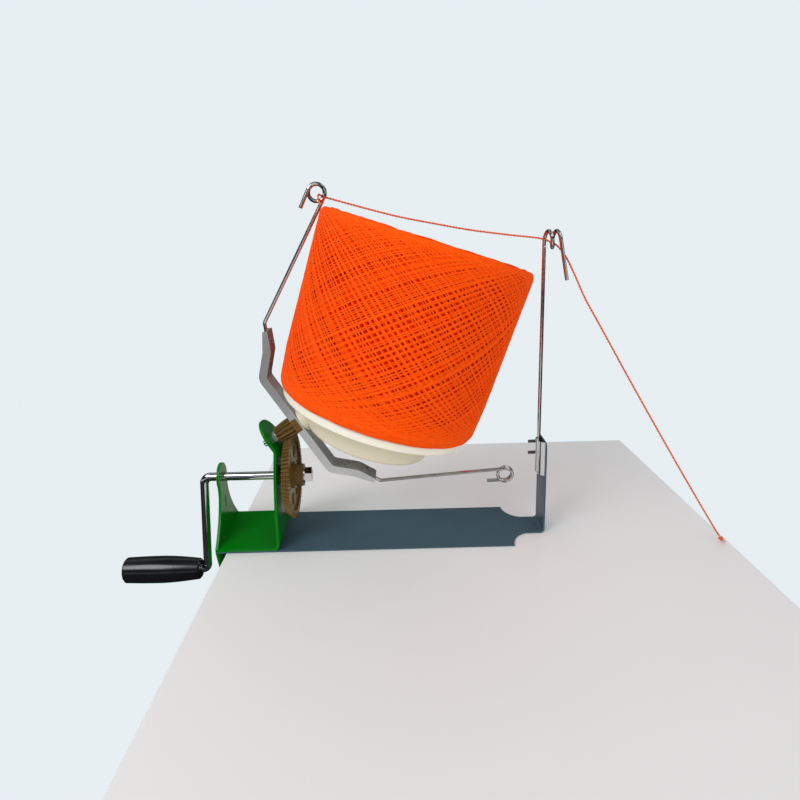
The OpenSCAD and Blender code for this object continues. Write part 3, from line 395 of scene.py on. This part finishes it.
def woundLayer(draw, inset, slip, shift):
    lineTurn = 2 * math.pi / ball["lines"]
    lines = []
    for index in range(ball["lines"]):
        drift = draw.gauss(0, ball["drift"])
        for side in (-1, 1):
            strayed = drift + draw.gauss(0, ball["jitter"])
            turn = (index + shift + side * ball["pair"] + strayed) * lineTurn
            eased = slip + draw.gauss(0, ball["slipSpread"])
            lines.append(wholeWrap(turn, eased, inset + draw.uniform(*ball["insetSpread"])))
    return lines


def addYarn(name, lines, finish, closed=False):
    return addPiece(name, strandMesh(name, lines, ball["strand"] * mm, closed), finish)


def windBall():
    draw = random.Random(ball["seed"])
    layers = {name: woundLayer(draw, inset, slip, shift)
              for name, inset, _, slip, shift in ball["layers"]}
    strays = ball["strays"]
    for _ in range(strays["count"]):
        turn = draw.uniform(0, 2 * math.pi)
        layers["ballWrapsOuter"].append(wholeWrap(turn, draw.uniform(*strays["slip"]), strays["inset"]))
    pieces = [addYarn(name, layers[name], finish, closed=True)
              for name, _, finish, _, _ in ball["layers"]]
    footArcs = endArcs(draw, ball["footArcs"], 0)
    rimArcs = endArcs(draw, ball["rimArcs"], math.pi)
    pieces.append(addYarn("ballEndWraps", footArcs + rimArcs, "ballYarn"))
    pieces.append(addYarn("ballTopWraps", dishArcs(draw, ball["topArcs"]), "ballYarn"))
    return pieces


# The core under the wraps is drawn in the dark red yarn: painted shade that shows through the gaps
# between wraps
coreShape = {
    "inset": 3.1,
    "foot": (32, 8.5),                       # radius and height
    "heights": [8.5, 14, 42, 80, 114, 140, 156.5],
    "edgeAngles": [22.5, 45, 67.5],
    "dishRadii": [80, 24],
    "dishInset": 2.4,
    "segments": 96,
    "merge": 0.001,
}


def ballCore(spec):
    inset = spec["inset"]
    rounding = ball["edgeRadius"] - inset
    edgeHeight = ball["top"] - ball["edgeRadius"]
    edgeMiddle = ball["profile"][-1][1] - ball["edgeRadius"]
    outline = [spec["foot"]]
    outline += [(ballRadius(height, inset), height) for height in spec["heights"]]
    outline += [(edgeMiddle + rounding * math.cos(math.radians(angle)),
                 edgeHeight + rounding * math.sin(math.radians(angle))) for angle in spec["edgeAngles"]]
    outline += [(radius, dishHeight(radius) - spec["dishInset"]) for radius in spec["dishRadii"]]
    bm = bmesh.new()
    corners = [bm.verts.new((radius * mm, 0, height * mm)) for radius, height in outline]
    rim = [bm.edges.new(pair) for pair in zip(corners, corners[1:] + corners[:1])]
    bmesh.ops.spin(bm, geom=corners + rim, cent=(0, 0, 0), axis=(0, 0, 1), angle=2 * math.pi,
                   steps=spec["segments"], use_merge=True, use_duplicate=False)
    bmesh.ops.remove_doubles(bm, verts=bm.verts, dist=spec["merge"] * mm)
    bmesh.ops.recalc_face_normals(bm, faces=bm.faces)
    bmesh.ops.transform(bm, matrix=bobbinPlace, verts=bm.verts)
    for face in bm.faces:
        face.smooth = True
    mesh = bpy.data.meshes.new("ballCore")
    bm.to_mesh(mesh)
    bm.free()
    return addPiece("ballCore", mesh, "deepYarnPaintedShade")


core = ballCore(coreShape)
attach(core, "bobbin")
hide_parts("yarn_ball")
for piece in windBall():
    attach(piece, "bobbin")
print("ball wound")


# The running yarn, in millimetres, along the routes of its solids

runningYarn = {
    "thick": 1.8,
    "ply": 0.56,         # thickness of a ply, as a share of the yarn's
    "pitch": 5.2,
    "step": 0.5,
    "fineSteps": 24,     # between two points of a route
    "across": (0, 1, 0.02),
    "told": 4,           # one point in so many tells where a cord runs
    "takeup": [[105.9, -3, 311.8], [105.9, -4.8, 311.1], [105.9, -6.2, 309.6], [106.2, -6.9, 307.4],
               [107.4, -8, 305.2], [109.6, -9.8, 304]],
    "lead": [[105.9, -2.4, 312], [106.2, -0.4, 312], [107.4, 1.6, 311.4], [109.6, 2.9, 310.3],
             [113.5, 3, 309.2], [143, 1.6, 300.8], [173.4, 0, 292.8], [203, -1.6, 286.7],
             [232.8, -3.2, 281], [265, -5, 276.4], [285, -6, 274], [294.5, -6.4, 272.4]],
    "feed": [[295.5, -6.5, 272.2], [298.8, -6.6, 270.6], [302, -6.8, 268.3], [306.2, -7.3, 266.6],
             [314, -8.6, 256.8], [321.3, -10.2, 242.9], [331.4, -12.2, 222], [345, -15, 198.6],
             [380, -23, 138.2], [420, -32, 71], [452, -39.5, 18.6], [460, -41.5, 6.4]],
}

yarnKnot = {
    "at": (461.4, -41.8, 4.2),
    "size": 0.713,       # a third of the knot's radius
    "thick": 1.5,
    "steps": 60,
    "endThick": 0.7,
    "end": [(0, 0, 0), (1.6, 0.5, -1.6), (3.6, 1.3, -2.9)],
    "spread": (-1, 0, 1),    # the loose ends go to the near side, straight on and to the far side
}


# Points along a smooth route, evenly spaced, in metres
def evenRoute(route, step, fineSteps):
    points = [Vector(p) * mm for p in route]
    fine = []
    for i in range(len(points) - 1):
        before, here = points[max(i - 1, 0)], points[i]
        after, later = points[i + 1], points[min(i + 2, len(points) - 1)]
        for k in range(fineSteps):
            t = k / fineSteps
            fine.append(0.5 * (2 * here + (after - before) * t
                               + (2 * before - 5 * here + 4 * after - later) * t ** 2
                               + (3 * here - before - 3 * after + later) * t ** 3))
    fine.append(points[-1])
    run = [0]
    for a, b in zip(fine, fine[1:]):
        run.append(run[-1] + (b - a).length)
    count = max(2, round(run[-1] / (step * mm)))
    even, at = [], 0
    for k in range(count + 1):
        wanted = run[-1] * k / count
        while at < len(run) - 2 and run[at + 1] < wanted:
            at += 1
        share = (wanted - run[at]) / max(run[at + 1] - run[at], 1e-9)
        even.append(fine[at].lerp(fine[at + 1], share))
    return even, run[-1]


def twistedPlies(path, spec):
    plies = [[], []]
    offAxis = spec["thick"] * mm * (1 - spec["ply"]) / 2
    run = 0
    for i, point in enumerate(path):
        ahead = (path[min(i + 1, len(path) - 1)] - path[max(i - 1, 0)]).normalized()
        side = ahead.cross(Vector(spec["across"])).normalized()
        other = ahead.cross(side)
        if i:
            run += (point - path[i - 1]).length
        angle = 2 * math.pi * run / (spec["pitch"] * mm)
        out = (side * math.cos(angle) + other * math.sin(angle)) * offAxis
        plies[0].append(point + out)
        plies[1].append(point - out)
    return plies


def runYarn(name, route, node):
    spec = runningYarn
    path, length = evenRoute(route, spec["step"], spec["fineSteps"])
    mesh = strandMesh(name, twistedPlies(path, spec), spec["ply"] * spec["thick"] * mm)
    piece = addPiece(name, mesh, "runningYarn")
    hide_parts(node)
    return piece, path, length


def tieKnot(spec):
    middle = Vector(spec["at"]) * mm
    loop = []
    for step in range(spec["steps"] + 1):
        t = 2 * math.pi * step / spec["steps"]
        trefoil = Vector((math.sin(t) + 2 * math.sin(2 * t), math.cos(t) - 2 * math.cos(2 * t),
                          -math.sin(3 * t)))
        loop.append(middle + trefoil * spec["size"] * mm)
    ends = [[middle + Vector((x, y * side, z)) * mm for x, y, z in spec["end"]]
            for side in spec["spread"]]
    knot = addPiece("yarnKnot", strandMesh("yarnKnot", [loop], spec["thick"] * mm, sides=2),
                    "runningYarn")
    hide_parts("yarn_knot")
    loose = addPiece("yarnEnds", strandMesh("yarnEnds", ends, spec["endThick"] * mm),
                     "runningYarn")
    return knot, loose


takeup = runYarn("yarnTakeup", runningYarn["takeup"], "yarn_takeup")[0]
lead, leadPath, leadLength = runYarn("yarnLead", runningYarn["lead"], "yarn_lead")
feed, feedPath, feedLength = runYarn("yarnFeed", runningYarn["feed"], "yarn_feed")
knot, knotEnds = tieKnot(yarnKnot)
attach(takeup, "flyer")
for piece in (feed, knot, knotEnds):
    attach(piece, "frame")
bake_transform(lead)
print("yarn run:", round(leadLength, 3), round(feedLength, 3))


# Table slab, backdrop and light

slab = {
    "left": 7,
    "right": 470,
    "front": -1400,
    "back": 232,
    "thick": 30,
    "edge": 1.2,
    "edgeSegments": 3,
}


def makeSlab(spec):
    bm = bmesh.new()
    bmesh.ops.create_cube(bm, size=1)
    size = Vector((spec["right"] - spec["left"], spec["back"] - spec["front"], spec["thick"])) * mm
    centre = Vector((spec["right"] + spec["left"], spec["back"] + spec["front"],
                     -spec["thick"])) * mm / 2
    bmesh.ops.scale(bm, vec=size, verts=bm.verts)
    bmesh.ops.translate(bm, vec=centre, verts=bm.verts)
    bmesh.ops.bevel(bm, geom=bm.edges, offset=spec["edge"] * mm, affect="EDGES",
                    segments=spec["edgeSegments"], profile=0.5, material=-1)
    mesh = bpy.data.meshes.new("tableSlab")
    bm.to_mesh(mesh)
    bm.free()
    addPiece("tableSlab", mesh, "paleSlab")


makeSlab(slab)

lightsAimAt = Vector((0.17, 0, 0.12))
# Metres and watts; a light that isn't mirrored leaves no bright square on the metal
softLights = {
    "key": {"place": (-0.6, -0.8, 1.0), "size": 0.7, "power": 9, "mirrored": True},
    "fill": {"place": (0.95, -1.1, 0.35), "size": 0.9, "power": 4.4, "mirrored": False},
    "back": {"place": (0.3, 1.0, 0.9), "size": 0.9, "power": 3.5, "mirrored": False},
}
for name, spec in softLights.items():
    data = bpy.data.lights.new(name, "AREA")
    data.size, data.energy = spec["size"], spec["power"]
    lamp = bpy.data.objects.new(name, data)
    scene.collection.objects.link(lamp)
    lamp.visible_glossy = spec["mirrored"]
    aim = lightsAimAt - Vector(spec["place"])
    lamp.matrix_world = (Matrix.Translation(spec["place"])
                         @ aim.to_track_quat("-Z", "Y").to_matrix().to_4x4())

room = {
    "seen": (0.80, 0.86, 0.89),
    "daylight": (0.97, 0.985, 1),
    "level": 0.62,
    # what metal mirrors: the height looked at, from straight down to straight up, and how bright it
    # is there, with the pale backdrop at eye level and a lit strip above
    "bands": [(0.0, 0.03), (0.47, 0.04), (0.49, 1.0), (0.54, 1.0), (0.56, 0.04), (0.76, 0.04),
              (0.81, 1.7), (0.91, 2.0), (0.95, 0.17), (1.0, 0.22)],
    "behind": 0.3,             # how bright the back of the room is beside the front
    "turn": (-0.25, 0.25),     # where the front ends and the back begins
}


def makeRoom(spec):
    world = bpy.data.worlds.new("studio")
    world.use_nodes = True
    scene.world = world
    tree = world.node_tree
    tree.nodes.clear()
    link = tree.links.new
    output = tree.nodes.new("ShaderNodeOutputWorld")
    rays = tree.nodes.new("ShaderNodeLightPath")
    coordinates = tree.nodes.new("ShaderNodeTexCoord")
    split = tree.nodes.new("ShaderNodeSeparateXYZ")
    height = tree.nodes.new("ShaderNodeMapRange")
    height.inputs["From Min"].default_value = -1
    ramp = tree.nodes.new("ShaderNodeValToRGB")
    stops = ramp.color_ramp.elements
    while len(stops) < len(spec["bands"]):
        stops.new(0.5)
    for stop, (at, level) in zip(stops, spec["bands"]):
        stop.position = at
        stop.color = (*(level * part for part in spec["seen"]), 1)
    link(coordinates.outputs["Generated"], split.inputs["Vector"])
    link(split.outputs["Z"], height.inputs["Value"])
    link(height.outputs["Result"], ramp.inputs["Fac"])
    plain = tree.nodes.new("ShaderNodeBackground")
    plain.inputs["Color"].default_value = (*spec["daylight"], 1)
    plain.inputs["Strength"].default_value = spec["level"]
    mirrored = tree.nodes.new("ShaderNodeBackground")
    link(ramp.outputs["Color"], mirrored.inputs["Color"])
    depth = tree.nodes.new("ShaderNodeMapRange")
    depth.inputs["From Min"].default_value, depth.inputs["From Max"].default_value = spec["turn"]
    depth.inputs["To Min"].default_value, depth.inputs["To Max"].default_value = 1, spec["behind"]
    link(split.outputs["Y"], depth.inputs["Value"])
    link(depth.outputs["Result"], mirrored.inputs["Strength"])
    seen = tree.nodes.new("ShaderNodeBackground")
    seen.inputs["Color"].default_value = (*spec["seen"], 1)
    first = tree.nodes.new("ShaderNodeMixShader")
    link(rays.outputs["Is Glossy Ray"], first.inputs["Fac"])
    link(plain.outputs["Background"], first.inputs[1])
    link(mirrored.outputs["Background"], first.inputs[2])
    second = tree.nodes.new("ShaderNodeMixShader")
    shown = tree.nodes.new("ShaderNodeMath")
    shown.operation = "MAXIMUM"
    link(rays.outputs["Is Camera Ray"], shown.inputs[0])
    link(rays.outputs["Is Transmission Ray"], shown.inputs[1])
    link(shown.outputs["Value"], second.inputs["Fac"])
    link(first.outputs["Shader"], second.inputs[1])
    link(seen.outputs["Background"], second.inputs[2])
    link(second.outputs["Shader"], output.inputs["Surface"])


makeRoom(room)
scene.view_settings.view_transform = "Standard"
print("stage lit")
